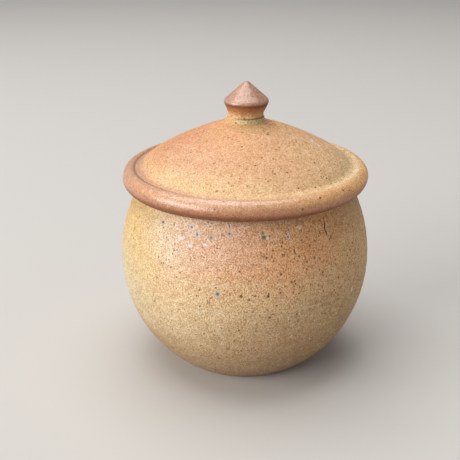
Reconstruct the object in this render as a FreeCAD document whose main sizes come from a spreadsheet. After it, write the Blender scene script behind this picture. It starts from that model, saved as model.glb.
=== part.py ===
import FreeCAD, Part
import math
import os
import Sketcher

# A wheel-thrown stoneware sugar pot with its loose lid. The pot is a round-bellied
# bowl that closes in to a flat lip. The lid is a shallow dome with a rolled rim and
# a pointed knob; its underside lies flat on the lip, and a short flange keeps it in
# the mouth. Both pieces are turned on one upright axis. The origin is the middle of
# the flat foot, +Z is up, and every size is in millimetres.

POT_SIZES = {
    "mouth_radius": 41.5,       # outside of the lip
    "seat_level": 78.6,         # top of the lip, where the lid lies
    "collar_lean": 2.1,         # how far the foot of the lip's collar stands out from its top
    "belly_swell": 8.0,         # how far the widest ring stands out from the collar's foot
    "belly_level": 45.1,        # height of that widest ring above the table
    "foot_radius": 27.9,        # flat underside
    "wall": 4.6,
    "floor_thickness": 5.5,
    "floor_inset": 0.9,         # how much narrower the inside floor is than the foot
    "lip_width": 4.6,
    "lip_depth": 3.0,           # upright stretch of the bore under the lip
    "lip_round": 1.1,
    "foot_round": 2.5,
    "floor_round": 7.0,
}

LID_SIZES = {
    "lid_overhang": 8.5,        # from the outside of the lip to the outside of the lid
    "rim_round": 4.05,          # radius of the rolled rim's section
    "rim_drop": 2.55,           # how far the rolled rim hangs below the seat
    "rim_gap": 1.5,             # play between the lip and the rim around it
    "rim_clear": 0.9,           # play between the shoulder and the rim above it
    "flange_gap": 1.2,          # play between the flange and the bore
    "flange_width": 3.2,
    "flange_drop": 4.5,
    "flange_round": 1.0,
    "groove_inset": 6.4,        # from the edge of the lid to the groove inside its rim
    "groove_round": 1.2,
    "brow_inset": 14.5,         # from the edge of the lid to where the dome steepens
    "brow_rise": 11.1,          # every rise is measured up from the seat
    "dome_bend": 138.0,         # large radius of the dome
    "dome_rise": 22.9,
    "crown_thickness": 6.0,     # clay between the hollow and the foot of the neck
    "spring_drop": 4.0,         # from the brow down to the spring of the hollow
    "spring_round": 4.0,
    "hollow_flat": 4.0,         # radius of the flat in the middle of the hollow
}

KNOB_SIZES = {
    "neck_foot_radius": 8.0,
    "neck_radius": 6.8,
    "neck_height": 2.9,         # from the dome up to the waist of the neck
    "neck_round": 2.2,
    "knob_radius": 9.0,
    "knob_flare": 5.5,          # from the waist up to the knob's sharp ring
    "knob_edge_round": 0.5,
    "knob_cone": 6.9,           # from the ring up to the start of the tip
    "tip_radius": 1.5,
    "tip_height": 0.6,
    "tip_flat": 0.3,            # radius of the flat on the very point
}

# Sizes that follow from the ones above, in the order in which they are needed.
FOLLOWING_SIZES = {
    "collar_radius": "sizes.mouth_radius + sizes.collar_lean",
    "collar_level": "sizes.seat_level - sizes.rim_drop - sizes.rim_clear",
    "belly_radius": "worked.collar_radius + sizes.belly_swell",
    "bore_radius": "sizes.mouth_radius - sizes.lip_width",
    "bore_level": "sizes.seat_level - sizes.lip_depth",
    "inner_belly": "worked.belly_radius - sizes.wall",
    "floor_radius": "sizes.foot_radius - sizes.floor_inset",
    "lid_radius": "sizes.mouth_radius + sizes.lid_overhang",
    "rim_inside": "sizes.mouth_radius + sizes.rim_gap",
    "rim_centre": "worked.lid_radius - sizes.rim_round",
    "rim_level": "sizes.rim_round - sizes.rim_drop",
    "groove_radius": "worked.lid_radius - sizes.groove_inset",
    "groove_rise": "worked.rim_level"
                   " + sqrt(sizes.rim_round^2 - (worked.rim_centre - worked.groove_radius)^2)",
    "brow_radius": "worked.lid_radius - sizes.brow_inset",
    "flange_outside": "worked.bore_radius - sizes.flange_gap",
    "flange_inside": "worked.flange_outside - sizes.flange_width",
    "hollow_rise": "sizes.dome_rise - sizes.crown_thickness",
    "spring_rise": "sizes.brow_rise - sizes.spring_drop",
    "waist_rise": "sizes.dome_rise + sizes.neck_height",
    "knob_rise": "worked.waist_rise + sizes.knob_flare",
    "tip_rise": "worked.knob_rise + sizes.knob_cone",
    "top_rise": "worked.tip_rise + sizes.tip_height",
}

RIGHT, LEFT = 1, -1             # the side of the way that an arc bulges to
AXIS_ACROSS, AXIS_UP = -1, -2   # a sketch's own axes
CLOSE_ENOUGH = 0.001


def fill_sheet(doc):
    """Put every driving size into the spreadsheet, each in a cell with an alias."""
    sheet = doc.addObject("Spreadsheet::Sheet", "sizes")
    named = {**POT_SIZES, **LID_SIZES, **KNOB_SIZES}
    for row, (name, value) in enumerate(named.items(), start=1):
        sheet.set(f"A{row}", name)
        sheet.set(f"B{row}", str(value))
        sheet.setAlias(f"B{row}", name)
    doc.recompute()


def work_out(doc):
    """Hold the sizes that follow from the driving ones, each as a live expression."""
    worked = doc.addObject("App::VarSet", "worked")
    for name, formula in FOLLOWING_SIZES.items():
        worked.addProperty("App::PropertyFloat", name, "Worked out")
        worked.setExpression(name, formula)
        doc.recompute()


def bend(aside, along):
    """Formula for the radius of an arc whose one end points straight along a direction.

    The other end lies `along` further that way and `aside` from it.
    """
    return f"(({aside})^2 + ({along})^2) / (2 * ({aside}))"


class Outline:
    """A closed half-section in a body's XZ plane, every number bound to the sheets.

    A corner is a pair of formulas: its distance from the axis and its height.
    """

    def __init__(self, body, across, height):
        self.sketch = body.newObject("Sketcher::SketchObject", f"{body.Name}_section")
        plane = next(item for item in body.Origin.OriginFeatures if item.Role == "XZ_Plane")
        self.sketch.AttachmentSupport = (plane, [""])
        self.sketch.MapMode = "FlatFace"
        self.first_corner = (across, height)
        self.here = self.place(across, height)
        self.edge = None

    def value(self, formula):
        return float(self.sketch.evalExpression(formula))

    def place(self, across, height):
        """Where a corner lies now, so that each edge is drawn at its true place."""
        return FreeCAD.Vector(self.value(across), self.value(height), 0)

    def line(self, across, height):
        """A straight edge to the next corner."""
        there = self.place(across, height)
        self.add(Part.LineSegment(self.here, there), there, "Coincident")
        self.hold(across, height)

    def arc(self, across, height, radius, side):
        """An arc of that radius to the next corner, bulging to that side of the way."""
        there = self.place(across, height)
        reach = self.value(radius)
        rise = reach - math.sqrt(reach ** 2 - (there - self.here).Length ** 2 / 4)
        self.add(self.bowed(there, side * rise), there, "Coincident")
        self.hold(across, height)
        self.bind("Radius", self.edge, formula=radius)

    def smooth_arc(self, across, height):
        """An arc to the next corner that carries on from the last edge without a kink."""
        there = self.place(across, height)
        chord = there - self.here
        last = self.sketch.Geometry[self.edge]
        way = FreeCAD.Vector(*last.tangent(last.parameter(self.here))[0])
        if way.dot(chord) < 0:
            way = -way
        turned = math.atan2(way.x * chord.y - way.y * chord.x, way.dot(chord))
        rise = chord.Length / 2 * math.tan(turned / 2)
        self.add(self.bowed(there, rise), there, "Tangent")
        self.hold(across, height)

    def close(self):
        """The last edge, back to the first corner."""
        self.line(*self.first_corner)
        self.constrain("Coincident", self.edge, self.end_at(self.edge), 0, self.end_at(0))
        return self.sketch

    def bowed(self, there, rise):
        """An arc from here to there whose middle stands off the chord to the right."""
        chord = there - self.here
        right = FreeCAD.Vector(chord.y, -chord.x, 0).normalize()
        return Part.Arc(self.here, (self.here + there) / 2 + right * rise, there)

    def add(self, shape, there, joint):
        """Draw an edge and join its near end to the edge before it."""
        edge = self.sketch.addGeometry(shape, False)
        if self.edge is not None:
            self.constrain(joint, self.edge, self.end_at(self.edge), edge, self.end_at(edge))
        self.edge = edge
        self.here = there

    def end_at(self, edge):
        """Which end of an edge lies here: 1 or 2, since every arc runs anticlockwise."""
        near = (self.sketch.getPoint(edge, 1) - self.here).Length < CLOSE_ENOUGH
        return 1 if near else 2

    def hold(self, across, height):
        """Bind the corner here to its distance from the axis and its height."""
        end = self.end_at(self.edge)
        for kind, axis, formula in (("DistanceX", AXIS_UP, across),
                                    ("DistanceY", AXIS_ACROSS, height)):
            if formula == "0":
                self.constrain("PointOnObject", self.edge, end, axis)
            else:
                self.bind(kind, -1, 1, self.edge, end, formula=formula)

    def constrain(self, *parts):
        return self.sketch.addConstraint(Sketcher.Constraint(*parts))

    def bind(self, *parts, formula):
        number = self.constrain(*parts, self.value(formula))
        self.sketch.setExpression(f"Constraints[{number}]", formula)


def turn(doc, body, sketch):
    """Spin a half-section once round the body's upright axis."""
    solid = body.newObject("PartDesign::Revolution", f"{body.Name}_turned")
    solid.Profile = sketch
    solid.ReferenceAxis = (sketch, ["V_Axis"])
    solid.Angle = 360
    doc.recompute()


def ring_edge(shape, corner):
    """Name of the round edge that a corner of the section leaves on the turned solid."""
    for number, edge in enumerate(shape.Edges, start=1):
        if edge.Degenerated or not isinstance(edge.Curve, Part.Circle):
            continue
        radius_off = edge.Curve.Radius - corner.x
        height_off = edge.Curve.Center.z - corner.y
        if max(abs(radius_off), abs(height_off)) < CLOSE_ENOUGH:
            return f"Edge{number}"
    raise ValueError(f"no ring of radius {corner.x:.3f} at height {corner.y:.3f}")


def soften(doc, body, name, outline, corners, radius):
    """Round the rings at some corners of the section with one fillet."""
    base = body.Tip
    rings = [ring_edge(base.Shape, outline.place(*corner)) for corner in corners]
    fillet = body.newObject("PartDesign::Fillet", f"{body.Name}_{name}")
    fillet.Base = (base, rings)
    fillet.setExpression("Radius", radius)
    doc.recompute()


def make_pot(doc):
    """The bowl: foot, round belly, closed-in shoulder, collar, flat lip and the inside.

    The shoulder ends in the collar below the lid's rim, so the rim hangs clear of it
    however wide the belly is.
    """
    pot = doc.addObject("PartDesign::Body", "pot")
    pot.Label = "pot"
    foot = ("sizes.foot_radius", "0")
    belly = ("worked.belly_radius", "sizes.belly_level")
    collar_foot = ("worked.collar_radius", "worked.collar_level")
    lip_outside = ("sizes.mouth_radius", "sizes.seat_level")
    lip_inside = ("worked.bore_radius", "sizes.seat_level")
    bore_foot = ("worked.bore_radius", "worked.bore_level")
    belly_inside = ("worked.inner_belly", "sizes.belly_level")
    floor_edge = ("worked.floor_radius", "sizes.floor_thickness")

    outline = Outline(pot, "0", "0")
    outline.line(*foot)
    outline.arc(*belly, bend("worked.belly_radius - sizes.foot_radius",
                             "sizes.belly_level"), RIGHT)
    outline.arc(*collar_foot, bend("sizes.belly_swell",
                                   "worked.collar_level - sizes.belly_level"), RIGHT)
    outline.line(*lip_outside)
    outline.line(*lip_inside)
    outline.line(*bore_foot)
    outline.arc(*belly_inside, bend("worked.inner_belly - worked.bore_radius",
                                    "worked.bore_level - sizes.belly_level"), LEFT)
    outline.arc(*floor_edge, bend("worked.inner_belly - worked.floor_radius",
                                  "sizes.belly_level - sizes.floor_thickness"), LEFT)
    outline.line("0", "sizes.floor_thickness")
    turn(doc, pot, outline.close())

    soften(doc, pot, "lip_rounding", outline, [lip_outside, lip_inside], "sizes.lip_round")
    soften(doc, pot, "foot_rounding", outline, [foot], "sizes.foot_round")
    soften(doc, pot, "floor_rounding", outline, [floor_edge], "sizes.floor_round")
    return pot


def make_lid(doc):
    """The lid in its own frame, with the seat at height 0: dome, rolled rim and knob."""
    lid = doc.addObject("PartDesign::Body", "lid")
    lid.Label = "lid"
    lid.setExpression(".Placement.Base.z", "sizes.seat_level")
    spring = ("worked.flange_inside", "worked.spring_rise")
    flange_inner_foot = ("worked.flange_inside", "-sizes.flange_drop")
    flange_outer_foot = ("worked.flange_outside", "-sizes.flange_drop")
    rim_bottom = ("worked.rim_centre", "-sizes.rim_drop")
    rim_edge = ("worked.lid_radius", "worked.rim_level")
    groove = ("worked.groove_radius", "worked.groove_rise")
    brow = ("worked.brow_radius", "sizes.brow_rise")
    neck_foot = ("sizes.neck_foot_radius", "sizes.dome_rise")
    waist = ("sizes.neck_radius", "worked.waist_rise")
    knob_ring = ("sizes.knob_radius", "worked.knob_rise")
    tip = ("sizes.tip_radius", "worked.tip_rise")

    # Drawn from the tip down the outside, and back up through the hollow.
    outline = Outline(lid, "0", "worked.top_rise")
    outline.line("sizes.tip_flat", "worked.top_rise")
    outline.arc(*tip, bend("sizes.tip_height", "sizes.tip_radius - sizes.tip_flat"), LEFT)
    outline.line(*knob_ring)
    outline.line(*waist)
    outline.line(*neck_foot)
    outline.arc(*brow, "sizes.dome_bend", LEFT)
    outline.smooth_arc(*groove)
    outline.arc(*rim_edge, "sizes.rim_round", LEFT)
    outline.arc(*rim_bottom, "sizes.rim_round", LEFT)
    outline.arc("worked.rim_inside", "0", bend("sizes.rim_drop",
                                               "worked.rim_centre - worked.rim_inside"), LEFT)
    outline.line("worked.flange_outside", "0")
    outline.line(*flange_outer_foot)
    outline.line(*flange_inner_foot)
    outline.line(*spring)
    outline.arc("sizes.hollow_flat", "worked.hollow_rise",
                bend("worked.hollow_rise - worked.spring_rise",
                     "worked.flange_inside - sizes.hollow_flat"), RIGHT)
    outline.line("0", "worked.hollow_rise")
    turn(doc, lid, outline.close())

    soften(doc, lid, "knob_rounding", outline, [knob_ring], "sizes.knob_edge_round")
    soften(doc, lid, "neck_rounding", outline, [waist, neck_foot], "sizes.neck_round")
    soften(doc, lid, "groove_rounding", outline, [groove], "sizes.groove_round")
    soften(doc, lid, "flange_rounding", outline, [flange_inner_foot, flange_outer_foot],
           "sizes.flange_round")
    soften(doc, lid, "spring_rounding", outline, [spring], "sizes.spring_round")
    return lid


def check(doc, pieces):
    """Stop before anything is written if a feature failed or a piece isn't sound."""
    doc.recompute()
    for item in doc.Objects:
        if {"Invalid", "Error"} & set(item.State):
            raise RuntimeError(f"{item.Name} failed: {item.State}")
    for piece in pieces:
        if piece.Shape.isNull() or not piece.Shape.isValid():
            raise RuntimeError(f"{piece.Label} has no sound shape")
        if len(piece.Shape.Solids) != 1:
            raise RuntimeError(f"{piece.Label} isn't one solid")


def write(pieces):
    """Write each piece to its own STEP file and print its size."""
    os.makedirs("parts", exist_ok=True)
    for piece in pieces:
        piece.Shape.exportStep(f"parts/{piece.Label}.step")
        box = piece.Shape.optimalBoundingBox()
        print(f"{piece.Label}: {piece.Shape.Volume / 1000:.1f} cm3, "
              f"width {box.XLength:.1f}, height {box.ZMin:.2f} to {box.ZMax:.2f}")


def main():
    doc = FreeCAD.newDocument("sugar_pot")
    fill_sheet(doc)
    work_out(doc)
    pieces = [make_pot(doc), make_lid(doc)]
    check(doc, pieces)
    write(pieces)


main()
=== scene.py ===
"""A wheel-thrown stoneware sugar pot with a knobbed lid, its light and its view.

The pot and the lid are each turned from half an outline, as a potter turns them, by one
Geometry Nodes tree. Both are unglazed clay coloured by the kiln's flame: buff and grey
where the flame passed by, orange and pink where it licked, with iron specks and small
pits, and a few patches and lines hold painted light and shade as well. Sizes are in
millimetres until they reach Blender, which works in metres.
"""

import logging
import math
from collections.abc import Callable, Iterable
from dataclasses import dataclass, field
from enum import Enum
from functools import partial
from typing import Any, ClassVar

import bpy
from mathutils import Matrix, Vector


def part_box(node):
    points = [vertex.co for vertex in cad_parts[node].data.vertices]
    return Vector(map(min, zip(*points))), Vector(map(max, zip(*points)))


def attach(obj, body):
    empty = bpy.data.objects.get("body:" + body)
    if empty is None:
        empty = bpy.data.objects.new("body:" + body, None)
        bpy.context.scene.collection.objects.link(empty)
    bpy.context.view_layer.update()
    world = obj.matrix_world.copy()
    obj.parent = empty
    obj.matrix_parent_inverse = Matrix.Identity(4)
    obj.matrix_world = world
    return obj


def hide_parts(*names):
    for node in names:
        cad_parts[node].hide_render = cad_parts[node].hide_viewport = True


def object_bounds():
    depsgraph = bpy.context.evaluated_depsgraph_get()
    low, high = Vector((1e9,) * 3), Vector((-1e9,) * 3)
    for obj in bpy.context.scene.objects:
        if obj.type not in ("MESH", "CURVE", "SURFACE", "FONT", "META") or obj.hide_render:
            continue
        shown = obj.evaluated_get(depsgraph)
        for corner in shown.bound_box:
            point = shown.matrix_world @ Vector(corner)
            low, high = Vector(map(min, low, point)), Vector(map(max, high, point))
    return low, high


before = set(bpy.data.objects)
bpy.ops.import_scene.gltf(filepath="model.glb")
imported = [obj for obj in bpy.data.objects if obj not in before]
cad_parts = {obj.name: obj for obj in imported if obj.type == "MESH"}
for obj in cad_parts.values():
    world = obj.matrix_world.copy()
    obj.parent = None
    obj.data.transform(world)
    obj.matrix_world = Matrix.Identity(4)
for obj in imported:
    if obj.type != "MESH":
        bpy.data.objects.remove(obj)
CAD_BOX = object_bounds()

log = logging.getLogger("sugar_pot")

MM = 0.001
MAP_NAME = "OFBake"

# Kinds of node that are used often, and the setting that softens a mask's edge.
MATH = "ShaderNodeMath"
VECTOR = "ShaderNodeVectorMath"
REMAP = "ShaderNodeMapRange"
MIX = "ShaderNodeMix"
NOISE = "ShaderNodeTexNoise"
SPLIT = "ShaderNodeSeparateXYZ"
SOFT = {"interpolation_type": "SMOOTHSTEP"}

LEVEL_PLANE = (1.0, 1.0, 0.0)
CORE = 0.3  # the share of a thin line's half width that is at full strength
DENT = 0.3  # how deep a mark with a dent of 1 lies, in millimetres
SATIN_ROUGHNESS = 0.36

Point = tuple[float, float]
Colour = tuple[float, float, float, float]
Place = tuple[float, float, float]
Feed = bpy.types.Node | bpy.types.NodeSocket  # what an input can be linked to
Adder = Callable[..., bpy.types.Node]  # add_node, bound to one tree


class Slot(Enum):
    """The record's material slots."""

    POT = "pot_stoneware"
    LID = "lid_stoneware"


class Bulge(Enum):
    """The side of the way along an outline that an arc swells towards."""

    LEFT = 1
    RIGHT = -1


class Face(Enum):
    """How a stretch of an outline is treated: (points apart, share of the map)."""

    SHOWN = (0.75, 1.0)
    CRISP = (0.35, 1.0)
    HIDDEN = (3.0, 0.4)


def linear(code: str) -> Colour:
    """Turns an sRGB hex colour into the linear colour that Blender's sockets take.

    Args:
        code: six hex digits after a #.

    Returns:
        Red, green, blue and an alpha of 1.
    """
    parts = [int(code[at : at + 2], 16) / 255 for at in (1, 3, 5)]
    red, green, blue = (
        part / 12.92 if part <= 0.04045 else ((part + 0.055) / 1.055) ** 2.4
        for part in parts
    )
    return red, green, blue, 1.0


def add_node(
    tree: bpy.types.NodeTree,
    kind: str,
    inputs: dict[str | int, Any] | None = None,
    **settings: Any,
) -> bpy.types.Node:
    """Adds a node to a tree, with its settings, values and links.

    Args:
        tree: the tree the node goes in.
        kind: the node's type.
        inputs: for each input's name or number, its value, or the socket linked to it, or
            a node whose first live socket is.
        settings: the node's own properties.

    Returns:
        The new node.
    """
    node = tree.nodes.new(kind)
    for name, value in settings.items():
        setattr(node, name, value)
    for key, value in (inputs or {}).items():
        if isinstance(value, bpy.types.Node):
            value = next(output for output in value.outputs if output.enabled)
        if isinstance(value, bpy.types.NodeSocket):
            tree.links.new(value, node.inputs[key])
        else:
            node.inputs[key].default_value = value
    return node


def empty_tree(owner: bpy.types.Material | bpy.types.World) -> bpy.types.NodeTree:
    """Gives a material or a world a node tree with nothing in it."""
    owner.use_nodes = True
    owner.node_tree.nodes.clear()
    return owner.node_tree


def put(name: str, data: bpy.types.ID) -> bpy.types.Object:
    """Makes an object of a mesh, a lamp or a camera, and puts it in the scene."""
    made = bpy.data.objects.new(name, data)
    bpy.context.collection.objects.link(made)
    return made


def bend(aside: float, along: float) -> float:
    """Radius of an arc that starts straight along and ends that far aside and along."""
    return (aside * aside + along * along) / (2 * aside)


class Outline:
    """Half the section of a turned piece, as points of radius and level in millimetres.

    It runs from one point on the axis to another with the clay on its left, so the faces
    that it leaves when turned point outwards.
    """

    FINE = 0.08  # millimetres between its points
    NEAR = 0.3  # how far from a level a point may be to count as at it
    FADE = 3.0  # how far from a hidden stretch the hand's marks reach their full depth
    TURN = math.radians(7)  # how far the outline turns before another station is due

    def __init__(self, level: float) -> None:
        """Starts the outline on the axis at a level."""
        self.points: list[Point] = [(0.0, level)]
        self.faces: list[Face] = []
        self.corners: list[tuple[int, float]] = []

    def line(self, radius: float, level: float, face: Face, rounding: float = 0.0) -> None:
        """Runs straight to a point.

        Args:
            radius: how far the point is from the axis.
            level: how high it is.
            face: how the stretch is treated.
            rounding: the radius that softens the corner at the point.
        """
        from_radius, from_level = self.points[-1]
        count = max(2, math.ceil(math.dist((from_radius, from_level), (radius, level)) / self.FINE))
        shares = (step / count for step in range(1, count + 1))
        points = (
            (
                from_radius + (radius - from_radius) * share,
                from_level + (level - from_level) * share,
            )
            for share in shares
        )
        self._add(points, face, rounding)

    def arc(
        self,
        radius: float,
        level: float,
        bend_radius: float,
        face: Face = Face.SHOWN,
        rounding: float = 0.0,
        bulge: Bulge = Bulge.RIGHT,
    ) -> None:
        """Runs along a circle to a point.

        Args:
            radius: how far the point is from the axis.
            level: how high it is.
            bend_radius: the circle's radius.
            face: how the stretch is treated.
            rounding: the radius that softens the corner at the point.
            bulge: the side of the way that the arc swells towards.
        """
        from_radius, from_level = self.points[-1]
        across, up = radius - from_radius, level - from_level
        chord = math.hypot(across, up)
        reach = math.sqrt(max(bend_radius**2 - chord**2 / 4, 0.0))
        centre_radius = (from_radius + radius) / 2 + bulge.value * up / chord * reach
        centre_level = (from_level + level) / 2 - bulge.value * across / chord * reach
        start = math.atan2(from_level - centre_level, from_radius - centre_radius)
        sweep = -bulge.value * 2 * math.asin(min(1.0, chord / 2 / bend_radius))
        count = max(2, math.ceil(abs(sweep) * bend_radius / self.FINE))
        angles = (start + sweep * step / count for step in range(1, count + 1))
        points = (
            (
                centre_radius + bend_radius * math.cos(angle),
                centre_level + bend_radius * math.sin(angle),
            )
            for angle in angles
        )
        self._add(points, face, rounding)
        self.points[-1] = (radius, level)

    def _add(self, points: Iterable[Point], face: Face, rounding: float) -> None:
        """Adds a stretch of points, and remembers its end if that is to be softened."""
        for point in points:
            self.points.append(point)
            self.faces.append(face)
        if rounding > 0:
            self.corners.append((len(self.points) - 1, rounding))

    def soften(self) -> None:
        """Replaces each remembered corner by a smooth bend of its rounding radius."""
        for at, rounding in self.corners:
            before = self._heading(at - 1, at)
            after = self._heading(at, at + 1)
            turning = math.remainder(after - before, 2 * math.pi)
            cut = rounding * math.tan(abs(turning) / 2)
            first, last = self._walk(at, -cut), self._walk(at, cut)
            start, end = self.points[first], self.points[last]
            leave, arrive = self._heading(first - 1, first), self._heading(last, last + 1)
            pull = 4 / 3 * math.tan(abs(math.remainder(arrive - leave, 2 * math.pi)) / 4) * rounding
            poles = (
                start,
                (start[0] + pull * math.cos(leave), start[1] + pull * math.sin(leave)),
                (end[0] - pull * math.cos(arrive), end[1] - pull * math.sin(arrive)),
                end,
            )
            for index in range(first, last + 1):
                share = (index - first) / (last - first)
                weights = (
                    (1 - share) ** 3,
                    3 * share * (1 - share) ** 2,
                    3 * share**2 * (1 - share),
                    share**3,
                )
                self.points[index] = (
                    sum(w * pole[0] for w, pole in zip(weights, poles)),
                    sum(w * pole[1] for w, pole in zip(weights, poles)),
                )
        self.corners.clear()

    def _heading(self, one: int, other: int) -> float:
        """Direction from one point to another, as an angle."""
        return math.atan2(
            self.points[other][1] - self.points[one][1],
            self.points[other][0] - self.points[one][0],
        )

    def _walk(self, at: int, distance: float) -> int:
        """Number of the point that lies a distance on from another, or back from it."""
        step = 1 if distance > 0 else -1
        gone = 0.0
        while gone < abs(distance) and 1 < at + step < len(self.points) - 2:
            gone += math.dist(self.points[at], self.points[at + step])
            at += step
        return at

    def radius_at(self, level: float) -> float:
        """Largest radius of the outline near a level."""
        return max(radius for radius, height in self.points if abs(height - level) < self.NEAR)

    def stations(self) -> list[tuple[float, float, float, float, float]]:
        """Picks the points that the turned piece is made of, closer where it curves.

        Returns:
            For each point its radius, its level, how much it is shown from 0 to 1, its
            share of the way along the map, and its distance along the outline.
        """
        self.soften()
        picked = [0]
        gone = turned = 0.0
        for at in range(1, len(self.points) - 1):
            gone += math.dist(self.points[at - 1], self.points[at])
            turned += abs(
                math.remainder(self._heading(at, at + 1) - self._heading(at - 1, at), 2 * math.pi)
            )
            if gone >= self.faces[at].value[0] or turned >= self.TURN:
                picked.append(at)
                gone = turned = 0.0
        picked.append(len(self.points) - 1)
        runs, shares = [0.0], [0.0]
        for at in range(1, len(self.points)):
            length = math.dist(self.points[at - 1], self.points[at])
            runs.append(runs[-1] + length)
            shares.append(shares[-1] + length * self.faces[at - 1].value[1])
        hidden = [run for run, face in zip(runs[1:], self.faces) if face is Face.HIDDEN]
        made = []
        for at in picked:
            nearest = min(abs(runs[at] - run) for run in hidden)
            made.append((
                max(self.points[at][0], 0.0),
                self.points[at][1],
                min(1.0, nearest / self.FADE),
                shares[at] / shares[-1],
                runs[at],
            ))
        return made


@dataclass
class Wheel:
    """The potter's wheel: turns half an outline into a closed, slightly uneven body.

    Its tree lays a grid of turns by stations, bends it round the axis, closes its seam and
    poles, and then presses in the spiral of the fingers, a slow waver out of round and a
    crease. The body may lean, by a rise per millimetre to the right and to the back, and
    what lies above the shift level stands aside by the shift.
    """

    turns: int = 400
    spiral_depth: float = 0.05
    spiral_pitch: float = 4.2
    waver: float = 0.25
    lean: Place = (0.0, 0.0, 0.0)
    shift: float = 0.0
    shift_level: float = 1000.0
    crease_depth: float = 0.0
    crease_radius: float = 1.0
    crease_width: float = 0.5
    crease_turn: float = -85.0
    seed: int = 3

    PATCHY_SCALE: ClassVar[float] = 45.0
    SLOW_SCALE: ClassVar[float] = 18.0
    SHIFT_BLEND: ClassVar[float] = 0.003
    SEAM: ClassVar[float] = 2e-7

    def inputs(self, clay: bpy.types.Material) -> dict[str, tuple[str, Any]]:
        """Kind and value of each of the tree's inputs, apart from the outline."""
        return {
            "Turns": ("Int", self.turns),
            "Spiral depth": ("Float", self.spiral_depth * MM),
            "Spiral pitch": ("Float", self.spiral_pitch * MM),
            "Waver": ("Float", self.waver * MM),
            "Lean": ("Vector", self.lean),
            "Shift": ("Float", self.shift * MM),
            "Shift level": ("Float", self.shift_level * MM),
            "Crease depth": ("Float", self.crease_depth * MM),
            "Crease radius": ("Float", self.crease_radius * MM),
            "Crease width": ("Float", self.crease_width * MM),
            "Crease turn": ("Float", math.radians(self.crease_turn)),
            "Seed": ("Int", self.seed),
            "Clay": ("Material", clay),
        }

    def tree(self, inputs: dict[str, tuple[str, Any]]) -> bpy.types.NodeTree:
        """Builds the tree that the wheel's modifier runs.

        Args:
            inputs: the kind and value of each input, apart from the outline.

        Returns:
            The tree, which takes in the outline and gives out the body.
        """
        tree = bpy.data.node_groups.new("turned on the wheel", "GeometryNodeTree")
        for name, (kind, _) in {"Outline": ("Geometry", None), **inputs}.items():
            tree.interface.new_socket(
                name=name, in_out="INPUT", socket_type=f"NodeSocket{kind}"
            )
        tree.interface.new_socket(name="Body", in_out="OUTPUT", socket_type="NodeSocketGeometry")
        add = partial(add_node, tree)
        given = add("NodeGroupInput").outputs
        position = add("GeometryNodeInputPosition")
        body = self.rolled_up(add, given, position)
        # The row that each point came from tells how much it shows and how far along it is.
        shown, run = (
            add("GeometryNodeInputNamedAttribute", {"Name": name}, data_type="FLOAT")
            for name in ("shown", "run")
        )
        spot = add(SPLIT, {0: position}).outputs

        # The fingers' spiral, stronger in some places than in others, and the slow waver.
        bearing = add(MATH, {0: spot["X"], 1: spot["Y"]}, operation="ARCTAN2")
        phase = add(MATH, {0: run, 1: given["Spiral pitch"]}, operation="DIVIDE")
        phase = add(MATH, {0: phase, 1: math.tau, 2: bearing}, operation="MULTIPLY_ADD")
        spiral = add(MATH, {0: phase}, operation="SINE")
        patchy, slow = (
            add(
                NOISE,
                {"Vector": position, "W": given["Seed"], "Scale": scale, "Detail": detail},
                noise_dimensions="4D",
            )
            for scale, detail in ((self.PATCHY_SCALE, 1.0), (self.SLOW_SCALE, 0.0))
        )
        for factor in (patchy, given["Spiral depth"]):
            spiral = add(MATH, {0: spiral, 1: factor}, operation="MULTIPLY")
        slow = add(MATH, {0: slow, 1: 0.5}, operation="SUBTRACT")
        relief = add(MATH, {0: slow, 1: given["Waver"], 2: spiral}, operation="MULTIPLY_ADD")

        # A crease pressed along one side, deepest at its own turn and gone opposite.
        flat = add(VECTOR, {0: position, 1: LEVEL_PLANE}, operation="MULTIPLY")
        dip = add(VECTOR, {0: flat}, operation="LENGTH")
        for operation, other in (
            ("SUBTRACT", given["Crease radius"]),
            ("DIVIDE", given["Crease width"]),
            ("POWER", 2.0),
            ("MULTIPLY", -1.0),
        ):
            dip = add(MATH, {0: dip, 1: other}, operation=operation)
        dip = add(MATH, {0: dip}, operation="EXPONENT")
        behind = add(MATH, {0: spot["Y"], 1: -1.0}, operation="MULTIPLY")
        turn = add(MATH, {0: spot["X"], 1: behind}, operation="ARCTAN2")
        turn = add(MATH, {0: turn, 1: given["Crease turn"]}, operation="SUBTRACT")
        facing = add(MATH, {0: turn}, operation="COSINE")
        side = add(REMAP, {"Value": facing, "From Min": -0.1, "From Max": 0.8}, **SOFT)
        for factor in (side, given["Crease depth"]):
            dip = add(MATH, {0: dip, 1: factor}, operation="MULTIPLY")
        relief = add(MATH, {0: relief, 1: dip}, operation="SUBTRACT")
        relief = add(MATH, {0: relief, 1: shown}, operation="MULTIPLY")
        normal = add("GeometryNodeInputNormal")
        pressed = add(VECTOR, {0: normal, "Scale": relief}, operation="SCALE")

        # What shows leans a little, and all above a level stands a little aside.
        lift = add(VECTOR, {0: flat, 1: given["Lean"]}, operation="DOT_PRODUCT")
        lift = add(MATH, {0: lift, 1: shown}, operation="MULTIPLY")
        risen = add(MATH, {0: spot["Z"], 1: given["Shift level"]}, operation="SUBTRACT")
        blend = {"From Min": -self.SHIFT_BLEND, "From Max": self.SHIFT_BLEND}
        aside = add(REMAP, {"Value": risen, "To Max": given["Shift"], **blend}, **SOFT)
        moved = add("ShaderNodeCombineXYZ", {"X": aside, "Z": lift})
        moved = add(VECTOR, {0: pressed, 1: moved}, operation="ADD")
        body = add("GeometryNodeSetPosition", {"Geometry": body, "Offset": moved})
        for kind in ("GeometryNodeSetShadeSmooth", "GeometryNodeRealizeInstances"):
            body = add(kind, {"Geometry": body})
        body = add("GeometryNodeSetMaterial", {"Geometry": body, "Material": given["Clay"]})
        add("NodeGroupOutput", {"Body": body})
        return tree

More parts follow.
